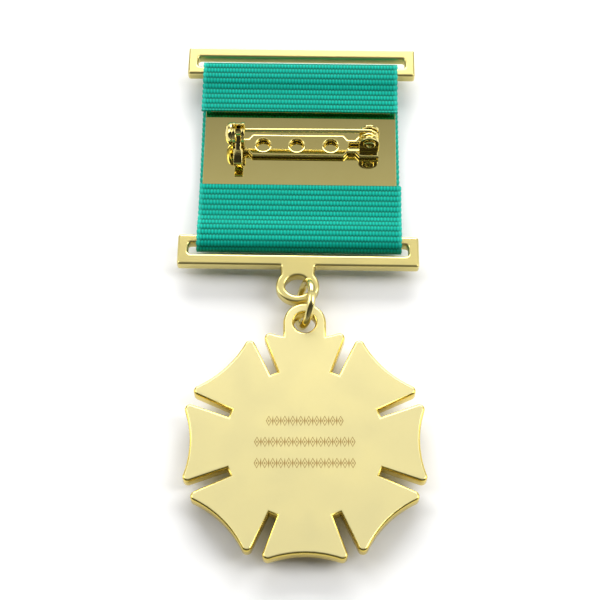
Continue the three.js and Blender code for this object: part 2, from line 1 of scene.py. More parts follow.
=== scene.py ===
"""Service medal: the finish of a gilt star medal on a grosgrain ribbon suspension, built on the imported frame.

Sizes are in millimetres and turned to metres when a piece is finished. Places come from the frame's boxes.
"""
from math import acos, asin, atan2, ceil, cos, hypot, pi, radians, sin, tau

import bmesh
import bpy
from mathutils import Matrix, Vector


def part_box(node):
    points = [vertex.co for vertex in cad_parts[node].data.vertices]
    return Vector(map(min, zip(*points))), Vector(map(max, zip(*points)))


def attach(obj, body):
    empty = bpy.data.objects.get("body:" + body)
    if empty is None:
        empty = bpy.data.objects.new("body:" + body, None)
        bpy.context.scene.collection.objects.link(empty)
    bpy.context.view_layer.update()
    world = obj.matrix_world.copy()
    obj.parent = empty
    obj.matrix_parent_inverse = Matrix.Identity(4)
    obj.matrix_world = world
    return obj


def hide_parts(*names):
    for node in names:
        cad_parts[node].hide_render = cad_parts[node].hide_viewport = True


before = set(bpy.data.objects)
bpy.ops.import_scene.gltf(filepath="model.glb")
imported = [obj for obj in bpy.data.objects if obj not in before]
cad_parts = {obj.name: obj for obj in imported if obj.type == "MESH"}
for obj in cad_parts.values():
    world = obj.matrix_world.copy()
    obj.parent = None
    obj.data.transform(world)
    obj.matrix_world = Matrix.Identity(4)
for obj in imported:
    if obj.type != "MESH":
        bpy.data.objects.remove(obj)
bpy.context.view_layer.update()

MM = 0.001
FLAT_CAP = 0.999               # a face this square to a sheet is its flat side, not its rounded edge

# Ribbon
RIBBON_THICK = 0.5
RIB_PITCH = 1.05
RIB_RELIEF = 0.08
RIB_STEPS = 8
WARP_PITCH = 0.56              # coarser than the real yarn, so that the strokes show
SELVEDGE_SCALLOP = 0.2
SELVEDGE = (16.7, 17.3)        # where the lighter edge threads begin and are full, from the middle
RIBBON_SKEW = 0.4              # the lower fold sits this far to the right of the upper one
LOWER_FLAP = 12.8
UPPER_FLAP = 10.6
RIBBON_EASE = 0.15
FLAP_HOVER = 0.7
FLAP_FALL = 3.4                # length over which a flap comes down from the bar to the plate

# Plate and bars
PLATE_CORNER = 0.4
PLATE_EDGE = 0.12
OUTER_RAIL = 2.1
WRAPPED_RAIL = 1.65
BAR_HEIGHT = 5.85
BAR_END_WALL = 1.8
BAR_CORNER = 0.5
BAR_EDGE = 0.45
SLOT_CORNER = 0.5
LOOP_STAND = 3.75
LOOP_HALF = (3.65, 3.2)
LOOP_HOLE_HALF = (2.1, 1.85)
NECK_WIDTH = 5.7
NECK_FILLET = 0.3

# Star
STAR_RADIUS = 20.2
STAR_ARMS = 8
TIP_ANGLE = radians(17.3)
TIP_ROUND = 0.85
ARM_DIP = 0.9
SLIT_ROOT_RADIUS = 13.0
SLIT_ROOT_WIDTH = 1.3
STAR_EDGE = 0.42
BLASTED_FACE = 0.97            # faces this level are sandblasted, and the rest stay bright
STAR_TURN = radians(0.86)
TAB_HOLE_STAND = 2.85
TAB_RADIUS = 3.55
TAB_HOLE_RADIUS = 1.8

# Marks on the star's back
ROW_PITCH = 3.6
ROW_LENGTHS = (12.8, 16.5, 16.5)
MARK_HEIGHT = 1.8
MARK_PITCH = 1.28
MARK_WIDTH = 0.95
MARK_LINE = 0.17
MARK_CORE = (0.3, 0.5)
MARK_STROKE = 0.28
MARK_DEPTH = 0.03

# Front
ROUNDEL_RADIUS = 8.6
ROUNDEL_RIM = 1.1
ROUNDEL_FLOOR = 0.75
FLANGE_THICK = 0.7
ENAMEL_EDGE = 0.15
BEADS = 60
BEAD_CIRCLE = 9.5
BEAD_RADIUS = 0.4
RAYS_PER_ARM = 5
RAY_SPREAD = radians(13.5)
RAY_START = 10.6
RAY_REACH = 18.0
RAY_SHORTER = 0.5              # outer rays by so much each step
RAY_RADII = (0.75, 0.3)
RAY_FLATNESS = 0.45
PETAL_CENTRE = 3.1
PETAL_HALF = (0.85, 2.3, 0.16)
ROSETTE_HALF = (1.1, 1.1, 0.2)
ROSETTE_SINK = 0.06

# Ring
RING_RADIUS = 3.75
RING_WIRE = 0.65
RING_LEAN = radians(73)
RING_SPLIT = 0.12
RING_SPLIT_AT = radians(62)

# Pin, hinge and catch
STRIP_WIDTH = 4.4
STRIP_NECK_WIDTH = 2.6
STRIP_SPAN = (-8.4, 7.7)
STRIP_STEP = 0.7
STRIP_HOLES = (-6.5, -0.6, 5.4)
STRIP_HOLE_RADIUS = 1.2
STRIP_WINDOW = (2.0, 1.25)
WINDOW_CORNER = 0.15
STRIP_EDGE = 0.3
PIN_WIRE = 0.36
PIN_LINE = 0.8
PIN_TAPER = 2.6
PIN_POINT = 0.2                # share of the wire's radius left at the point
COIL_RADIUS = 1.22
COIL_PITCH = 0.76
COIL_TURNS = 1.25
EAR_THICK = 0.55
EAR_BORE = 0.75
HINGE_BASE_THICK = 0.4
RIVET_RADIUS = 0.7
RIVET_HEAD = 0.3
RIVET_DIMPLE = 0.4
CHEEK_RADIUS = 2.05
CHEEK_THICK = 0.55
LOCK_RISE = 0.9                # lock's axis above the cheeks' centre
LOCK_RADIUS = 1.2
LOCK_THICK = 0.9
LOCK_HUB = 0.8
HUB_INSET = 0.05
THUMB_REACH = 6.0
THUMB_THICK = 0.7
THUMB_WIDTH = 1.5
THUMB_ROUND = 0.3
THUMB_NECK = 3.25
THUMB_DROOP = radians(23)
SADDLE_TOP = 2.3
CAP_LIP = 0.12
MOUTH_WIDTH = 0.95
RUN_GAP = 0.06
FINE_EDGE = 0.1


def span(name):
    """Lowest and highest corner of a frame node, in millimetres."""
    low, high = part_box(name)
    return low / MM, high / MM


def middle(name):
    low, high = span(name)
    return (low + high) / 2


# ---------------------------------------------------------------- shapes
def arc(centre, radius, start, stop, steps=12):
    """Points on an arc; radius is one number, or two for an oval."""
    across, up = radius if isinstance(radius, tuple) else (radius, radius)
    angles = [start + (stop - start) * i / steps for i in range(steps + 1)]
    return [(centre[0] + across * cos(a), centre[1] + up * sin(a)) for a in angles]


def circle(centre, radius, steps=48):
    return arc(centre, radius, 0, tau, steps)[:-1]


def rounded_rectangle(low, high, corner, steps=6):
    x0, y0, x1, y1 = low[0] + corner, low[1] + corner, high[0] - corner, high[1] - corner
    return (arc((x1, y0), corner, -pi / 2, 0, steps) + arc((x1, y1), corner, 0, pi / 2, steps)
            + arc((x0, y1), corner, pi / 2, pi, steps) + arc((x0, y0), corner, pi, 1.5 * pi, steps))


def tidy_mesh(mesh, merge=1e-4):
    """Merges doubled points and turns every face outwards."""
    shell = bmesh.new()
    shell.from_mesh(mesh)
    bmesh.ops.remove_doubles(shell, verts=shell.verts, dist=merge)
    bmesh.ops.recalc_face_normals(shell, faces=shell.faces)
    shell.to_mesh(mesh)
    shell.free()


def from_curve(curve):
    """The mesh of a curve, in the curve's own units."""
    carrier = bpy.data.objects.new(curve.name, curve)
    bpy.context.scene.collection.objects.link(carrier)
    bpy.context.view_layer.update()
    solid = carrier.evaluated_get(bpy.context.evaluated_depsgraph_get())
    mesh = bpy.data.meshes.new_from_object(solid)
    bpy.data.objects.remove(carrier)
    bpy.data.curves.remove(curve)
    tidy_mesh(mesh)
    return mesh


def pressed_sheet(loops, low, high, edge, edge_steps=4):
    """A flat piece between two levels, with rounded edges.

    The first loop is its outline and the rest are holes.
    """
    curve = bpy.data.curves.new("outline", "CURVE")
    curve.dimensions = "2D"
    curve.fill_mode = "BOTH"
    curve.extrude = (high - low) / 2 - edge
    curve.bevel_depth = edge
    curve.bevel_resolution = edge_steps
    curve.offset = -edge
    for loop in loops:
        spline = curve.splines.new("POLY")
        spline.points.add(len(loop) - 1)
        for point, (x, y) in zip(spline.points, loop):
            point.co = (x, y, 0, 1)
        spline.use_cyclic_u = True
    mesh = from_curve(curve)
    for face in mesh.polygons:
        face.use_smooth = abs(face.normal.z) < FLAT_CAP
    mesh.transform(Matrix.Translation((0, 0, (low + high) / 2)))
    return mesh


def wire(points, radius, taper=None, sides=6):
    """A round wire through the points. taper gives each point's share of the radius."""
    curve = bpy.data.curves.new("wire", "CURVE")
    curve.dimensions = "3D"
    curve.bevel_depth = radius
    curve.bevel_resolution = sides
    curve.use_fill_caps = True
    spline = curve.splines.new("POLY")
    spline.points.add(len(points) - 1)
    for i, (point, place) in enumerate(zip(spline.points, points)):
        point.co = (*place, 1)
        point.radius = taper[i] if taper else 1
    mesh = from_curve(curve)
    mesh.shade_smooth()
    return mesh


def turned(profile, steps=64):
    """A profile of (radius, height) points turned once about Z."""
    shape = bmesh.new()
    points = [shape.verts.new((radius, 0, height)) for radius, height in profile]
    edges = [shape.edges.new(pair) for pair in zip(points, points[1:])]
    bmesh.ops.spin(shape, geom=points + edges, cent=(0, 0, 0), axis=(0, 0, 1), angle=tau, steps=steps,
                   use_merge=True)
    bmesh.ops.remove_doubles(shape, verts=shape.verts, dist=1e-4)
    bmesh.ops.recalc_face_normals(shape, faces=shape.faces)
    return to_mesh(shape)


def to_mesh(shape):
    """A smooth mesh from a finished bmesh, which is then freed."""
    mesh = bpy.data.meshes.new("shape")
    shape.to_mesh(mesh)
    shape.free()
    mesh.shade_smooth()
    return mesh


def along_x(low):
    """Places a sheet pressed in Y and Z so that its thickness runs along X from low."""
    return Matrix.Translation((low, 0, 0)) @ Matrix(((0, 0, 1, 0), (1, 0, 0, 0), (0, 1, 0, 0), (0, 0, 0, 1)))


def finished(name, parts, body, material, stands_for=(), place=Matrix(), smooth=35):
    """One piece from meshes in millimetres, placed, smoothed, painted and riding on its body."""
    shell = bmesh.new()
    for part in parts:
        shell.from_mesh(part)
        bpy.data.meshes.remove(part)
    mesh = bpy.data.meshes.new(name)
    shell.to_mesh(mesh)
    shell.free()
    mesh.transform(Matrix.Scale(MM, 4) @ place)
    piece = bpy.data.objects.new(name, mesh)
    bpy.context.scene.collection.objects.link(piece)
    for finish in material if isinstance(material, (list, tuple)) else [material]:
        mesh.materials.append(finish)
    flat = [face.index for face in mesh.polygons if not face.use_smooth]
    mesh.set_sharp_from_angle(angle=radians(smooth))
    for index in flat:
        mesh.polygons[index].use_smooth = False
    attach(piece, body)
    if stands_for:
        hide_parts(*stands_for)
    return piece


# ---------------------------------------------------------------- materials
def linear(colour):
    """An sRGB hex colour as linear red, green, blue and alpha."""
    channels = [int(colour[i:i + 2], 16) / 255 for i in (1, 3, 5)]
    return [c / 12.92 if c <= 0.04045 else ((c + 0.055) / 1.055) ** 2.4 for c in channels] + [1]


def add(tree, kind, inputs=None, **settings):
    """A node with its settings, and its inputs set or linked. Returns its first output."""
    made = tree.nodes.new(kind)
    for name, value in settings.items():
        setattr(made, name, value)
    for key, value in (inputs or {}).items():
        if isinstance(value, bpy.types.NodeSocket):
            tree.links.new(value, made.inputs[key])
        else:
            made.inputs[key].default_value = value
    return made.outputs[0]


def new_material(name, **shader):
    """A material with an empty tree but for its shader, whose sockets are set by name."""
    material = bpy.data.materials.new(name)
    material.use_nodes = True
    tree = material.node_tree
    tree.nodes.clear()
    surface = tree.nodes.new("ShaderNodeBsdfPrincipled")
    output = tree.nodes.new("ShaderNodeOutputMaterial")
    tree.links.new(surface.outputs[0], output.inputs[0])
    for key, value in shader.items():
        surface.inputs[key.replace("_", " ")].default_value = value
    return material, tree, surface


def object_place(tree):
    """The piece's own coordinates, in metres."""
    return tree.nodes.new("ShaderNodeTexCoord").outputs["Object"]


def mix_colours(tree, share, low, high):
    mix = tree.nodes.new("ShaderNodeMix")
    mix.data_type = "RGBA"
    for socket, value in ((mix.inputs[0], share), (mix.inputs[6], low), (mix.inputs[7], high)):
        if isinstance(value, bpy.types.NodeSocket):
            tree.links.new(value, socket)
        else:
            socket.default_value = value
    return mix.outputs[2]


def per_metre(millimetres):
    """The texture scale that repeats about once in so many millimetres."""
    return 1 / (millimetres * MM)


FINE_BUMP = 0.02               # depth of grain and flecks
CLOUD_PITCH = 6                # handling marks on the gilt


def gold_plate(name, colour, worn, roughness, grain_mm, grain_bump):
    """Gold plate over brass: a pale lime gold that reflects its surroundings, a little cloudy."""
    material, tree, surface = new_material(name, Metallic=1.0)
    place = object_place(tree)
    clouds = add(tree, "ShaderNodeTexNoise",
                 {"Vector": place, "Scale": per_metre(CLOUD_PITCH), "Detail": 3.0})
    tone = mix_colours(tree, clouds, linear(colour), linear(worn))
    gloss = add(tree, "ShaderNodeMapRange",
                {"Value": clouds, "To Min": roughness * 0.8, "To Max": roughness * 1.2})
    grain = add(tree, "ShaderNodeTexNoise", {"Vector": place, "Scale": per_metre(grain_mm), "Detail": 2.0})
    bump = add(tree, "ShaderNodeBump", {"Height": grain, "Strength": grain_bump, "Distance": FINE_BUMP * MM})
    tree.links.new(tone, surface.inputs["Base Color"])
    tree.links.new(gloss, surface.inputs["Roughness"])
    tree.links.new(bump, surface.inputs["Normal"])
    return material


polished_gold = gold_plate("polished_gold_plate", "#E9DC98", "#DCCB7E", 0.2, 0.8, 0.15)
mirror_gold = gold_plate("mirror_gold_plate", "#E4D68C", "#DCCC80", 0.06, 9.0, 0.05)
# Bright-dipped small parts: a fine polish that shows the studio almost as clearly as the plate does.
bright_gold = gold_plate("bright_dipped_gold_plate", "#E6D78C", "#DECC7C", 0.09, 9.0, 0.05)
# Brushed and tumbled bars: soft broad highlights with no clear reflection.
satin_gold = gold_plate("satin_gold_plate", "#DDCF8A", "#D0C078", 0.3, 0.5, 0.2)
# Sandblasted before plating: fine pits scatter the light, so the gold looks pale and even.
frosted_gold = gold_plate("sandblasted_gold_plate", "#E2D79E", "#D8CC90", 0.4, 0.16, 0.4)
bright_edge_gold = gold_plate("tumbled_gold_edge", "#E8D272", "#DCC258", 0.24, 0.6, 0.2)


def ribbon_cloth():
    """Grosgrain of rayon warp over a thick weft: teal strokes that stand as ribs, with painted highlights on
    the strokes and painted shade between them and in the valleys.
    """
    material, tree, surface = new_material("grosgrain_ribbon", Roughness=0.62, Sheen_Weight=0.04,
                                           Sheen_Roughness=0.4, Specular_IOR_Level=0.08)

    def maths(operation, *values):
        return add(tree, "ShaderNodeMath", dict(enumerate(values)), operation=operation)

    thread = tree.nodes.new("ShaderNodeAttribute")
    thread.attribute_name = "thread"
    parts = add(tree, "ShaderNodeSeparateXYZ", {"Vector": thread.outputs["Vector"]}).node.outputs
    across, along = parts["X"], parts["Y"]
    wander = add(tree, "ShaderNodeTexNoise",
                 {"Vector": thread.outputs["Vector"], "Scale": 1.1, "Detail": 2.0})
    rib_number = maths("FLOOR", maths("DIVIDE", along, RIB_PITCH))
    stagger = maths("MULTIPLY", rib_number, pi)
    drift = maths("MULTIPLY", wander, 2.0)
    strokes = maths("ADD", maths("MULTIPLY_ADD", across, tau / WARP_PITCH, stagger), drift)
    stroke = maths("SINE", strokes)
    rib = maths("ABSOLUTE", maths("SINE", maths("MULTIPLY", along, pi / RIB_PITCH)))
    # Painted light: the strokes are painted lighter as highlights, and the gaps between them and the valleys
    # between ribs are painted darker as shade.
    crest = add(tree, "ShaderNodeMapRange", {"Value": rib, "From Min": 0.2, "From Max": 0.8})
    stroke_highlight_mask = add(tree, "ShaderNodeMapRange", {"Value": stroke, "From Min": -0.1, "From Max": 0.9})
    gap_shade_mask = add(tree, "ShaderNodeMapRange", {"Value": stroke, "From Min": 0.5, "From Max": -0.7})
    body = mix_colours(tree, stroke_highlight_mask, linear("#008F7C"), linear("#00B69F"))
    valley_painted_shade = mix_colours(tree, gap_shade_mask, linear("#007A68"), linear("#00513F"))
    weave_and_painted_shade = mix_colours(tree, crest, valley_painted_shade, body)
    selvedge = add(tree, "ShaderNodeMapRange",
                   {"Value": maths("ABSOLUTE", across), "From Min": SELVEDGE[0], "From Max": SELVEDGE[1],
                    "To Max": 0.45})
    tone = mix_colours(tree, selvedge, weave_and_painted_shade, linear("#3CCDB8"))
    cloud = add(tree, "ShaderNodeTexNoise",
                {"Vector": thread.outputs["Vector"], "Scale": 0.22, "Detail": 1.0})
    shade = add(tree, "ShaderNodeMapRange",
                {"Value": cloud, "From Min": 0.3, "From Max": 0.7, "To Max": 0.25})
    worn = mix_colours(tree, shade, tone, linear("#018673"))
    height = maths("MULTIPLY_ADD", stroke, 0.4, rib)
    bump = add(tree, "ShaderNodeBump", {"Height": height, "Strength": 0.6, "Distance": 0.05 * MM})
    tree.links.new(worn, surface.inputs["Base Color"])
    tree.links.new(bump, surface.inputs["Normal"])
    return material


def speckled(name, colour, fleck, roughness, flecks_mm, metallic=0.0):
    """A plain stuff with fine flecks of a second tone, such as foam tape, solder or a laser mark."""
    material, tree, surface = new_material(name, Metallic=metallic, Roughness=roughness)
    place = object_place(tree)
    flecks = add(tree, "ShaderNodeTexNoise", {"Vector": place, "Scale": per_metre(flecks_mm), "Detail": 3.0})
    tone = mix_colours(tree, flecks, linear(colour), linear(fleck))
    bump = add(tree, "ShaderNodeBump", {"Height": flecks, "Strength": 0.2, "Distance": FINE_BUMP * MM})
    tree.links.new(tone, surface.inputs["Base Color"])
    tree.links.new(bump, surface.inputs["Normal"])
    return material


grosgrain = ribbon_cloth()
hard_enamel = speckled("hard_enamel", "#0A6F64", "#0C7B6F", 0.08, 3.0)
foam_tape = speckled("foam_tape", "#E8E4D8", "#D8D2C2", 0.8, 0.4)
soft_solder = speckled("soft_solder", "#A6A49B", "#8E8C84", 0.4, 0.5, metallic=1.0)
laser_mark = speckled("laser_mark", "#94783C", "#A88C4C", 0.55, 0.15, metallic=0.3)


# ---------------------------------------------------------------- suspension
bar_x = middle("top_bar").x
plate_low, plate_high = span("backing_plate")
top_low, top_high = span("top_bar")
lower_low, lower_high = span("lower_bar")
ribbon_low, ribbon_high = span("ribbon")
mid_plane = (top_low.z + top_high.z) / 2
fold_radius = (ribbon_high.z - ribbon_low.z) / 2 - RIBBON_THICK / 2


def bar_slot(rail_low):
    """The slot's outline, from its lower edge."""
    half = (top_high.x - top_low.x) / 2 - BAR_END_WALL
    slot_height = BAR_HEIGHT - OUTER_RAIL - WRAPPED_RAIL
    return rounded_rectangle((bar_x - half, rail_low), (bar_x + half, rail_low + slot_height), SLOT_CORNER, 4)


def make_backing_plate():
    outline = rounded_rectangle(plate_low, plate_high, PLATE_CORNER)
    sheet = pressed_sheet([outline], plate_low.z, plate_high.z, PLATE_EDGE)
    return finished("mirror_plate", [sheet], "suspension", mirror_gold, ["backing_plate"])


def make_top_bar():
    outline = rounded_rectangle(top_low, top_high, BAR_CORNER)
    sheet = pressed_sheet([outline, bar_slot(top_low.y + WRAPPED_RAIL)], top_low.z, top_high.z, BAR_EDGE)
    return finished("top_slotted_bar", [sheet], "upper_bar", satin_gold, ["top_bar"])


def make_lower_bar():
    bottom = lower_high.y - BAR_HEIGHT
    loop_y = bottom - LOOP_STAND
    half = NECK_WIDTH / 2
    meet = asin(half / LOOP_HALF[0])
    corner = BAR_CORNER
    left, right = lower_low.x + corner, lower_high.x - corner
    outline = (arc((bar_x, loop_y), LOOP_HALF, pi / 2 + meet, 2.5 * pi - meet, 48)
               + arc((bar_x + half + NECK_FILLET, bottom - NECK_FILLET), NECK_FILLET, pi, pi / 2, 4)
               + arc((right, bottom + corner), corner, -pi / 2, 0, 6)
               + arc((right, lower_high.y - corner), corner, 0, pi / 2, 6)
               + arc((left, lower_high.y - corner), corner, pi / 2, pi, 6)
               + arc((left, bottom + corner), corner, pi, 1.5 * pi, 6)
               + arc((bar_x - half - NECK_FILLET, bottom - NECK_FILLET), NECK_FILLET, pi / 2, 0, 4))
    holes = [bar_slot(bottom + OUTER_RAIL), circle((bar_x, loop_y), LOOP_HOLE_HALF)]
    sheet = pressed_sheet([outline, *holes], lower_low.z, lower_high.z, BAR_EDGE)
    return finished("lower_hanger_bar", [sheet], "hanger_bar", satin_gold, ["lower_bar"])


def flap_path(fold_y, end_y):
    """A flap's centre line from the bar's back down to just above the plate, in Y and Z."""
    bearing = mid_plane + fold_radius
    resting = plate_high.z + FLAP_HOVER + RIBBON_THICK / 2
    direction = 1 if end_y > fold_y else -1
    start = fold_y + direction * (WRAPPED_RAIL + RIBBON_EASE)
    points = []
    for i in range(13):
        t = i / 12
        fall = t * t * (3 - 2 * t)
        points.append((start + direction * FLAP_FALL * t, bearing + (resting - bearing) * fall))
    return points + [(end_y, resting)]


def ribbon_path():
    """The ribbon's whole centre line, from the lower flap's end round both bars to the upper flap's end."""
    reach = fold_radius + RIBBON_THICK / 2
    lower_y, upper_y = ribbon_low.y + reach, ribbon_high.y - reach
    lower_end = lower_y - reach + LOWER_FLAP
    upper_end = upper_y + reach - UPPER_FLAP
    return (flap_path(lower_y, lower_end)[::-1]
            + arc((lower_y, mid_plane), fold_radius, pi / 2, 1.5 * pi, 24)
            + arc((upper_y, mid_plane), fold_radius, -pi / 2, pi / 2, 24)
            + flap_path(upper_y, upper_end))


def along_path(path, distance, total):
    """The point at a distance along the path, and the direction there. total is each point's own distance."""
    for i, (a, b) in enumerate(zip(path, path[1:])):
        length = hypot(b[0] - a[0], b[1] - a[1])
        if distance <= total[i] + length or i == len(path) - 2:
            t = (distance - total[i]) / length
            return Vector(a).lerp(Vector(b), t), (Vector(b) - Vector(a)) / length


def make_ribbon():
    """A closed shell from a grid that goes round the ribbon's section and runs along its length."""
    path = ribbon_path()
    total = [0]
    for a, b in zip(path, path[1:]):
        total.append(total[-1] + hypot(b[0] - a[0], b[1] - a[1]))
    length = total[-1]
    rows = ceil(length / RIB_PITCH) * RIB_STEPS
    half = (ribbon_high.x - ribbon_low.x) / 2
    across_steps = 26
    section = ([(-half + 2 * half * i / across_steps, 1) for i in range(across_steps + 1)]
               + [(half - 2 * half * i / across_steps, -1) for i in range(across_steps + 1)])
    shell = bmesh.new()
    bmesh.ops.create_grid(shell, x_segments=len(section), y_segments=rows, size=0.5)
    thread = shell.verts.layers.float_vector.new("thread")
    for point in shell.verts:
        column = round((point.co.x + 0.5) * len(section)) % len(section)
        distance = (point.co.y + 0.5) * length
        across, side = section[column]
        centre, direction = along_path(path, distance, total)
        normal = Vector((-direction.y, direction.x))
        rib = abs(sin(pi * distance / RIB_PITCH)) ** 0.7
        thickness = RIBBON_THICK / 2 - RIB_RELIEF * (1 - rib)
        scallop = SELVEDGE_SCALLOP * (rib - 1) if abs(across) == half else 0
        skew = RIBBON_SKEW * (0.5 - distance / length)
        place = centre + normal * thickness * side
        point[thread] = (across, distance, side)
        point.co = (bar_x + across + skew + (scallop if across > 0 else -scallop), place.x, place.y)
    bmesh.ops.remove_doubles(shell, verts=shell.verts, dist=1e-4)
    bmesh.ops.holes_fill(shell, edges=[e for e in shell.edges if e.is_boundary])
    bmesh.ops.recalc_face_normals(shell, faces=shell.faces)
    piece = finished("grosgrain_ribbon", [to_mesh(shell)], "suspension", grosgrain, ["ribbon"],
                     smooth=70)
    return piece


# ---------------------------------------------------------------- pin, hinge and catch
strip_low, strip_high = span("pin_strip")
strip_y = (strip_low.y + strip_high.y) / 2
pin_y = strip_y + PIN_LINE
lug_low, lug_high = span("hinge_lug")
coil_x = (lug_low.x + lug_high.x) / 2
ear_radius = (lug_high.x - lug_low.x) / 2
coil_z = lug_high.z - ear_radius
catch_low, catch_high = span("catch_bracket")
cheek_y, cheek_z = middle("catch_cap").yz
lock_z = cheek_z + LOCK_RISE
neck_half = STRIP_NECK_WIDTH / 2
mouth_half = MOUTH_WIDTH / 2
# Stands a sheet up so that its own +Z runs along -Y.
STAND_UP = Matrix.Rotation(pi / 2, 4, "X")


def make_pin_strip():
    wide = STRIP_WIDTH / 2
    start, stop = bar_x + STRIP_SPAN[0], bar_x + STRIP_SPAN[1]
    hinge_start = coil_x - ear_radius
    half = [(strip_low.x, neck_half), (start - STRIP_STEP, neck_half), (start, wide), (stop, wide),
            (stop + STRIP_STEP, neck_half), (hinge_start - STRIP_STEP, neck_half), (hinge_start, wide),
            (strip_high.x, wide)]
    outline = [(x, strip_y - y) for x, y in half] + [(x, strip_y + y) for x, y in reversed(half)]
    holes = [circle((bar_x + x, strip_y), STRIP_HOLE_RADIUS, 36) for x in STRIP_HOLES]
    left = stop + STRIP_STEP + STRIP_EDGE
    window = rounded_rectangle((left, strip_y - STRIP_WINDOW[1] / 2),
                               (left + STRIP_WINDOW[0], strip_y + STRIP_WINDOW[1] / 2), WINDOW_CORNER, 3)
    sheet = pressed_sheet([outline, *holes, window], strip_low.z, strip_high.z, STRIP_EDGE)
    return finished("pin_strip_plate", [sheet], "suspension", bright_gold, ["pin_strip"])


def make_hinge_bracket():
    """Two round-topped ears bent up from one base."""
    ear = [(lug_low.x, lug_low.z), (lug_high.x, lug_low.z)] + arc((coil_x, coil_z), ear_radius, 0, pi, 32)
    bore = circle((coil_x, coil_z), EAR_BORE, 24)
    sheets = []
    for front in (lug_low.y, lug_high.y - EAR_THICK):
        sheet = pressed_sheet([ear, bore], -front - EAR_THICK, -front, FINE_EDGE)
        sheet.transform(STAND_UP)
        sheets.append(sheet)
    base = rounded_rectangle((lug_low.x + FINE_EDGE, lug_low.y + FINE_EDGE),
                             (lug_high.x - FINE_EDGE, lug_high.y - FINE_EDGE), FINE_EDGE, 3)
    sheets.append(pressed_sheet([base], lug_low.z, lug_low.z + HINGE_BASE_THICK, FINE_EDGE))
    return finished("hinge_bracket_ears", sheets, "suspension", bright_gold, ["hinge_lug"])


def make_hinge_rivet():
    """A semi-tubular rivet: each rolled head is a ring with a dimple in it."""
    low, high = span("hinge_rivet")
    length = high.y - low.y
    head_radius = (high.x - low.x) / 2
    roll = (head_radius - RIVET_DIMPLE) / 2
    head = ([(0, RIVET_HEAD * 0.4), (head_radius - 2 * roll, RIVET_HEAD * 0.4)]
            + arc((head_radius - roll, RIVET_HEAD / 2), (roll, RIVET_HEAD / 2), pi, -pi / 2, 12))
    profile = ([(x, RIVET_HEAD - z) for x, z in head]
               + [(RIVET_RADIUS, RIVET_HEAD), (RIVET_RADIUS, length - RIVET_HEAD)]
               + [(x, length - RIVET_HEAD + z) for x, z in reversed(head)])
    place = Matrix.Translation((coil_x, low.y, coil_z)) @ Matrix.Rotation(-pi / 2, 4, "X")
    return finished("hinge_rivet_turned", [turned(profile, 40)], "suspension", bright_gold,
                    ["hinge_rivet"], place)


def make_pin_wire():
    """The coil's turns, then the stem's long easy run to the catch, then the point."""
    low = span("pin_wire")[0]
    turns = 60
    points = []
    for i in range(turns + 1):
        back = 1 - i / turns
        angle = pi / 2 - tau * COIL_TURNS * back
        points.append(Vector((coil_x + COIL_RADIUS * cos(angle), pin_y - COIL_PITCH * COIL_TURNS * back,
                              coil_z + COIL_RADIUS * sin(angle))))
    root = points[-1]
    stem_end = Vector((low.x + PIN_TAPER, pin_y, lock_z))
    bow = Vector(((stem_end.x - root.x) / 3, 0, 0))
    knots = [root, root + bow, stem_end - bow, stem_end]
    for i in range(1, 25):
        t = i / 24
        weights = ((1 - t) ** 3, 3 * t * (1 - t) ** 2, 3 * t * t * (1 - t), t ** 3)
        points.append(sum((k * w for k, w in zip(knots, weights)), Vector()))
    points.append(Vector((low.x, pin_y, lock_z)))
    taper = [1] * (len(points) - 1) + [PIN_POINT]
    return finished("pin_wire_sprung", [wire(points, PIN_WIRE, taper)], "pin", bright_gold,
                    ["pin_wire"], smooth=50)


def cheek_outline():
    """A round cheek on a leg, with a keyhole for the lock's hub that opens at its top, in Y and Z."""
    def on_rim(y, upper):
        angle = acos((y - cheek_y) / CHEEK_RADIUS)
        return angle if upper else tau - angle

    bore = LOCK_HUB + RUN_GAP
    throat = asin(mouth_half / bore)
    left, right = strip_y - neck_half, strip_y + neck_half
    return (arc((cheek_y, cheek_z), CHEEK_RADIUS, on_rim(pin_y - mouth_half, True), on_rim(left, False), 24)
            + [(left, catch_low.z), (right, catch_low.z)]
            + arc((cheek_y, cheek_z), CHEEK_RADIUS, on_rim(right, False),
                  tau + on_rim(pin_y + mouth_half, True), 24)
            + arc((pin_y, lock_z), bore, pi / 2 - throat, -1.5 * pi + throat, 32))


def make_catch_bracket():
    sheets = []
    for x in (catch_low.x, catch_high.x - CHEEK_THICK):
        cheek = pressed_sheet([cheek_outline()], 0, CHEEK_THICK, FINE_EDGE)
        cheek.transform(along_x(x))
        sheets.append(cheek)
    block = rounded_rectangle((strip_y - neck_half, catch_low.z),
                              (strip_y + neck_half, plate_high.z + SADDLE_TOP), FINE_EDGE, 3)
    saddle = pressed_sheet([block], 0, catch_high.x - catch_low.x - CHEEK_THICK, FINE_EDGE)
    saddle.transform(along_x(catch_low.x + CHEEK_THICK / 2))
    return finished("catch_cheeks", [*sheets, saddle], "suspension", bright_gold, ["catch_bracket"])


def slotted_disc(radius, thumb=False):
    """A disc about the lock's axis, slotted from its top. With thumb it has a neck for the thumb piece."""
    lip = asin(mouth_half / radius)
    slot = arc((0, 0), mouth_half, 0, -pi, 12)
    if not thumb:
        return arc((0, 0), radius, pi / 2 + lip, 2.5 * pi - lip, 40) + slot
    toward = pi + THUMB_DROOP
    root = asin(THUMB_THICK / 2 / radius)
    reach = hypot(THUMB_NECK + 1, THUMB_THICK / 2)
    spread = asin(THUMB_THICK / 2 / reach)
    neck = arc((0, 0), reach, toward - spread, toward + spread, 1)
    return (arc((0, 0), radius, pi / 2 + lip, toward - root, 12) + neck
            + arc((0, 0), radius, toward + root, 2.5 * pi - lip, 24) + slot)


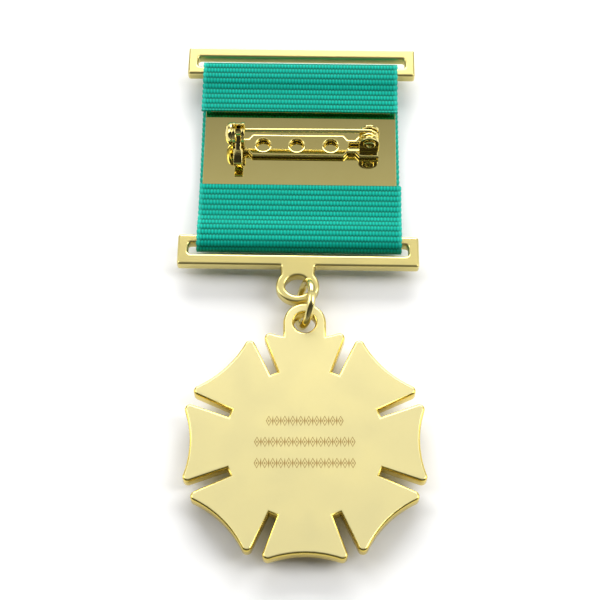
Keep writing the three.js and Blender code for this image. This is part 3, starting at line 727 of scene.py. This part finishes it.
def make_safety_lock():
    wheel_x = catch_low.x + CHEEK_THICK + RUN_GAP
    hub_x = catch_low.x + HUB_INSET
    half = THUMB_THICK / 2
    paddle = rounded_rectangle((-THUMB_REACH, -half), (-THUMB_NECK, half), THUMB_ROUND, 5)
    turn = Matrix.Rotation(THUMB_DROOP, 2)
    paddle = [tuple(turn @ Vector(point)) for point in paddle]
    sheets = []
    for outline, x, thick in ((slotted_disc(LOCK_RADIUS, True), wheel_x, LOCK_THICK),
                              (slotted_disc(LOCK_HUB), hub_x, catch_high.x - hub_x),
                              (paddle, wheel_x - (THUMB_WIDTH - LOCK_THICK) / 2, THUMB_WIDTH)):
        sheet = pressed_sheet([[(pin_y + y, lock_z + z) for y, z in outline]], 0, thick, FINE_EDGE)
        sheet.transform(along_x(x))
        sheets.append(sheet)
    return finished("safety_lock_disc", sheets, "lock", bright_gold, ["safety_lock"])


def make_catch_cap():
    low, high = span("catch_cap")
    radius, bulge = (high.y - low.y) / 2, high.x - low.x
    lip = CAP_LIP
    profile = ([(0, 0), (radius - lip, 0)] + arc((radius - lip, lip), lip, -pi / 2, 0, 4)
               + arc((0, lip), (radius, bulge - lip), 0, pi / 2, 16)[1:])
    place = Matrix.Translation((high.x, cheek_y, cheek_z)) @ Matrix.Rotation(-pi / 2, 4, "Y")
    return finished("catch_dome", [turned(profile, 48)], "suspension", bright_gold, ["catch_cap"],
                    place)


# ---------------------------------------------------------------- ring and star
star_centre = middle("front_roundel")
star_low, star_high = span("medal_body")
star_place = Matrix.Translation((star_centre.x, star_centre.y, 0)) @ Matrix.Rotation(STAR_TURN, 4, "Z")


def make_jump_ring():
    """Round wire bent into a ring and cut, so that its two flat ends almost meet."""
    centre = middle("jump_ring")
    half_split = RING_SPLIT / RING_RADIUS / 2
    shape = bmesh.new()
    made = bmesh.ops.create_circle(shape, segments=24, radius=RING_WIRE, cap_ends=True)
    bmesh.ops.transform(shape, verts=made["verts"], matrix=Matrix.Translation((RING_RADIUS, 0, 0))
                        @ Matrix.Rotation(pi / 2, 4, "X"))
    bmesh.ops.rotate(shape, verts=made["verts"], matrix=Matrix.Rotation(RING_SPLIT_AT + half_split, 3, "Z"))
    bmesh.ops.spin(shape, geom=shape.faces[:], cent=(0, 0, 0), axis=(0, 0, 1), angle=tau - 2 * half_split,
                   steps=96)
    bmesh.ops.recalc_face_normals(shape, faces=shape.faces)
    place = Matrix.Translation(centre) @ Matrix.Rotation(-RING_LEAN, 4, "Y")
    return finished("split_jump_ring", [to_mesh(shape)], "ring", polished_gold, ["jump_ring"], place)


def arm_shape():
    """The points and angles that one arm's outline turns through, for an arm that points along +Y."""
    slit = pi / STAR_ARMS
    tip = Vector((sin(TIP_ANGLE), cos(TIP_ANGLE))) * (STAR_RADIUS - TIP_ROUND)
    root = Vector((SLIT_ROOT_RADIUS * sin(slit) - SLIT_ROOT_WIDTH / 2 * cos(slit),
                   SLIT_ROOT_RADIUS * cos(slit) + SLIT_ROOT_WIDTH / 2 * sin(slit)))
    to_tip = tip - root
    flank = atan2(to_tip.y, to_tip.x) - asin(TIP_ROUND / to_tip.length)
    edge = STAR_RADIUS * cos(TIP_ANGLE) - ARM_DIP
    depth = edge - tip.y
    dip_radius = (tip.x ** 2 + depth ** 2 - TIP_ROUND ** 2) / (2 * (TIP_ROUND - depth))
    dip_y = edge + dip_radius
    to_dip = atan2(dip_y - tip.y, -tip.x)
    return root, tip, flank, to_dip, dip_y, dip_radius, edge


def arm_outline(tab=False):
    root, tip, flank, to_dip, dip_y, dip_radius, edge = arm_shape()
    right_tip = arc(tip, TIP_ROUND, flank - pi / 2, to_dip, 10)
    left_tip = [(-x, y) for x, y in reversed(right_tip)]
    if not tab:
        rim = arc((0, dip_y), dip_radius, to_dip - pi, -to_dip, 20)[1:-1]
    else:
        meet = -pi / 2 + asin(TAB_RADIUS / dip_radius)
        right = arc((0, dip_y), dip_radius, to_dip - pi, meet, 6)[1:]
        hole_y = edge + TAB_HOLE_STAND
        rim = right + arc((0, hole_y), TAB_RADIUS, 0, pi, 36) + [(-x, y) for x, y in reversed(right)]
    return [tuple(root)] + right_tip + rim + left_tip + [(-root.x, root.y)]


def star_outline():
    outline = []
    for arm in range(STAR_ARMS):
        turn = tau * arm / STAR_ARMS
        for x, y in arm_outline(arm == 0):
            outline.append((x * cos(turn) - y * sin(turn), x * sin(turn) + y * cos(turn)))
    return outline


def make_star():
    edge = STAR_RADIUS * cos(TIP_ANGLE) - ARM_DIP
    hole = circle((0, edge + TAB_HOLE_STAND), TAB_HOLE_RADIUS)
    sheet = pressed_sheet([star_outline(), hole], star_low.z, star_high.z, STAR_EDGE, 4)
    piece = finished("star_medal", [sheet], "medal", [frosted_gold, bright_edge_gold],
                     ["medal_body"], star_place, smooth=50)
    for face in piece.data.polygons:
        face.material_index = 0 if abs(face.normal.z) > BLASTED_FACE else 1
    return piece


def make_laser_rows():
    """Three centred rows of ringed lozenges with a stroke between each pair, marked into the gold."""
    shape = bmesh.new()

    def lozenge(x, y, width, height):
        made = bmesh.ops.create_circle(shape, segments=4, radius=0.5, cap_ends=True)
        bmesh.ops.transform(shape, verts=made["verts"], matrix=Matrix.Translation((x, y, 0))
                            @ Matrix.Diagonal((width, height, 1, 1)))
        return made["verts"][0].link_faces[0]

    rings = []
    for row, length in enumerate(ROW_LENGTHS):
        y = (1 - row) * ROW_PITCH
        count = round(length / MARK_PITCH)
        for i in range(count):
            x = (i - (count - 1) / 2) * length / count
            rings.append(lozenge(x, y, MARK_WIDTH, MARK_HEIGHT))
            lozenge(x, y, *MARK_CORE)
            if i:
                lozenge(x - MARK_PITCH / 2, y, MARK_STROKE, MARK_HEIGHT)
    made = bmesh.ops.inset_individual(shape, faces=rings, thickness=MARK_LINE)
    bmesh.ops.delete(shape, geom=rings, context="FACES")
    top = bmesh.ops.extrude_face_region(shape, geom=shape.faces[:])
    raised = [point for point in top["geom"] if isinstance(point, bmesh.types.BMVert)]
    bmesh.ops.translate(shape, verts=raised, vec=(0, 0, MARK_DEPTH))
    bmesh.ops.recalc_face_normals(shape, faces=shape.faces)
    place = star_place @ Matrix.Translation((0, 0, star_high.z - MARK_DEPTH / 2))
    return finished("laser_marked_rows", [to_mesh(shape)], "medal", laser_mark, [], place)


def make_roundel():
    """The struck roundel: a flange against the star, then a rim round a sunk field."""
    low, high = span("front_roundel")
    flange = (high.x - low.x) / 2
    step = high.z - FLANGE_THICK
    inner = ROUNDEL_RADIUS - ROUNDEL_RIM
    profile = ([(0, high.z), (flange, high.z)] + arc((flange - 0.2, step + 0.2), 0.2, 0, -pi / 2, 4)
               + arc((ROUNDEL_RADIUS + 0.15, step - 0.15), 0.15, pi / 2, pi, 3)
               + arc((ROUNDEL_RADIUS - 0.3, 0.3), 0.3, 0, -pi / 2, 6)
               + arc((inner + 0.12, 0.12), 0.12, -pi / 2, -pi, 4)
               + [(inner, ROUNDEL_FLOOR), (0, ROUNDEL_FLOOR)])
    place = Matrix.Translation((star_centre.x, star_centre.y, 0))
    return finished("roundel_rim", [turned(profile, 96)], "medal", polished_gold, ["front_roundel"],
                    place)


def make_bead_ring():
    """A ring of half-sunk beads on the roundel's flange."""
    high = span("front_roundel")[1]
    shape = bmesh.new()
    for i in range(BEADS):
        turn = tau * i / BEADS
        centre = (BEAD_CIRCLE * cos(turn), BEAD_CIRCLE * sin(turn), high.z - FLANGE_THICK)
        bmesh.ops.create_uvsphere(shape, u_segments=12, v_segments=8, radius=BEAD_RADIUS,
                                  matrix=Matrix.Translation(centre))
    place = Matrix.Translation((star_centre.x, star_centre.y, 0))
    return finished("roundel_bead_ring", [to_mesh(shape)], "medal", polished_gold, [], place)


def make_arm_rays():
    """Raised tapering rays that fan over the front of each arm."""
    shape = bmesh.new()
    for arm in range(STAR_ARMS):
        for ray in range(RAYS_PER_ARM):
            lean = (ray / (RAYS_PER_ARM - 1) - 0.5) * 2 * RAY_SPREAD
            reach = RAY_REACH - RAY_SHORTER * abs(ray - (RAYS_PER_ARM - 1) / 2)
            middle_radius = (RAY_START + reach) / 2
            made = bmesh.ops.create_cone(shape, cap_ends=True, segments=4, radius1=RAY_RADII[0],
                                         radius2=RAY_RADII[1], depth=reach - RAY_START)
            bmesh.ops.transform(shape, verts=made["verts"], matrix=(
                Matrix.Rotation(tau * arm / STAR_ARMS + lean, 4, "Z")
                @ Matrix.Translation((0, middle_radius, star_low.z + 0.05))
                @ Matrix.Diagonal((1, 1, RAY_FLATNESS, 1)) @ Matrix.Rotation(pi / 2, 4, "X")))
    bmesh.ops.recalc_face_normals(shape, faces=shape.faces)
    return finished("struck_arm_rays", [to_mesh(shape)], "medal", polished_gold, [], star_place)


def make_rosette():
    """A raised eight-petalled rosette in the middle of the enamel."""
    low = span("enamel_disc")[0]
    shape = bmesh.new()
    for petal in range(STAR_ARMS):
        bmesh.ops.create_uvsphere(shape, u_segments=20, v_segments=10, radius=1, matrix=(
            Matrix.Rotation(tau * petal / STAR_ARMS, 4, "Z")
            @ Matrix.Translation((0, PETAL_CENTRE, low.z + ROSETTE_SINK))
            @ Matrix.Diagonal((*PETAL_HALF, 1))))
    bmesh.ops.create_uvsphere(shape, u_segments=24, v_segments=12, radius=1, matrix=(
        Matrix.Translation((0, 0, low.z + ROSETTE_SINK)) @ Matrix.Diagonal((*ROSETTE_HALF, 1))))
    place = Matrix.Translation((star_centre.x, star_centre.y, 0))
    return finished("enamel_rosette", [to_mesh(shape)], "medal", polished_gold, [], place)


def make_enamel():
    low, high = span("enamel_disc")
    radius = (high.x - low.x) / 2
    edge = ENAMEL_EDGE
    profile = ([(0, high.z), (radius, high.z)] + arc((radius - edge, low.z + edge), edge, 0, -pi / 2, 4)
               + [(0, low.z)])
    place = Matrix.Translation((star_centre.x, star_centre.y, 0))
    return finished("enamel_field", [turned(profile, 96)], "medal", hard_enamel, ["enamel_disc"],
                    place)


# ---------------------------------------------------------------- camera, light and floor
CAMERA_TILT = radians(27)
CAMERA_LENS = 91.8
CAMERA_PLACE = (-0.764, -90.44, 227.2)


def make_camera():
    """The camera stands over the star's foot and looks up the ribbon at 63 degrees above the table."""
    data = bpy.data.cameras.new("camera")
    data.lens = CAMERA_LENS
    data.sensor_width = 36
    data.clip_start = 0.01
    camera = bpy.data.objects.new("camera", data)
    bpy.context.scene.collection.objects.link(camera)
    origin = Matrix.Translation(Vector((star_centre.x, star_centre.y, star_high.z)) * MM)
    camera.matrix_world = (origin @ Matrix.Rotation(STAR_TURN, 4, "Z")
                           @ Matrix.Translation(Vector(CAMERA_PLACE) * MM)
                           @ Matrix.Rotation(CAMERA_TILT, 4, "X"))
    bpy.context.scene.camera = camera


# Pairs of how far back a direction points, from -1 (front) to 1 (back), and how bright the studio is there.
# The front is dark, the cloth overhead is bright, and a dimmer band lies between the cloth and the back wall.
SKY = ((-1.0, 0.25), (-0.6, 0.05), (-0.2, 0.03), (-0.06, 0.78),
       (0.46, 0.86), (0.6, 0.2), (0.72, 0.3), (0.95, 0.8))


def make_light(name, place, target, size, power):
    data = bpy.data.lights.new(name, "AREA")
    data.shape = "RECTANGLE"
    data.size, data.size_y = size
    data.energy = power
    lamp = bpy.data.objects.new(name, data)
    bpy.context.scene.collection.objects.link(lamp)
    lamp.location = place
    lamp.rotation_euler = (Vector(target) - Vector(place)).to_track_quat("-Z", "Y").to_euler()


def make_studio():
    """Soft light from behind the top bar and from overhead, over a plain white table."""
    material = new_material("matt_white_table", Base_Color=linear("#F4F4F3"), Roughness=0.7)[0]
    floor = bmesh.new()
    bmesh.ops.create_grid(floor, x_segments=1, y_segments=1, size=1.5)
    mesh = bpy.data.meshes.new("table")
    floor.to_mesh(mesh)
    floor.free()
    mesh.materials.append(material)
    table = bpy.data.objects.new("table", mesh)
    bpy.context.scene.collection.objects.link(table)
    world = bpy.data.worlds.new("studio")
    world.use_nodes = True
    tree = world.node_tree
    heading = tree.nodes.new("ShaderNodeTexCoord").outputs["Generated"]
    parts = add(tree, "ShaderNodeSeparateXYZ", {"Vector": heading}).node.outputs
    reach_back = add(tree, "ShaderNodeMapRange", {"Value": parts["Y"], "From Min": -1.0})
    ramp = add(tree, "ShaderNodeValToRGB", {"Fac": reach_back}).node
    stops = ramp.color_ramp.elements
    while len(stops) < len(SKY):
        stops.new(0.5)
    for stop, (reach, level) in zip(stops, SKY):
        stop.position = (reach + 1) / 2
        stop.color = (level, level, level, 1)
    sides = add(tree, "ShaderNodeMapRange",
                {"Value": parts["X"], "From Min": -1.0, "To Min": 0.82, "To Max": 1.12})
    tree.links.new(ramp.outputs[0], tree.nodes["Background"].inputs["Color"])
    tree.links.new(sides, tree.nodes["Background"].inputs["Strength"])
    bpy.context.scene.world = world
    make_light("back_softbox", (0.0, 0.75, 0.45), (0, 0, 0), (0.9, 0.5), 9)
    make_light("left_softbox", (-0.6, 0.1, 0.5), (0, 0, 0), (0.3, 0.7), 2)
    make_light("right_softbox", (0.6, 0.0, 0.5), (0, 0, 0), (0.3, 0.7), 3)
    bpy.context.scene.view_settings.view_transform = "Standard"


make_camera()
make_studio()
make_backing_plate()
make_top_bar()
make_lower_bar()
make_ribbon()
make_pin_strip()
make_hinge_bracket()
make_hinge_rivet()
make_pin_wire()
make_catch_bracket()
make_safety_lock()
make_catch_cap()
make_jump_ring()
make_star()
make_laser_rows()
make_arm_rays()
make_roundel()
make_bead_ring()
make_enamel()
make_rosette()
for node, finish in (("tape_pad_top", foam_tape), ("tape_pad_lower", foam_tape),
                     ("solder_film", soft_solder)):
    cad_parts[node].data.materials.clear()
    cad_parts[node].data.materials.append(finish)
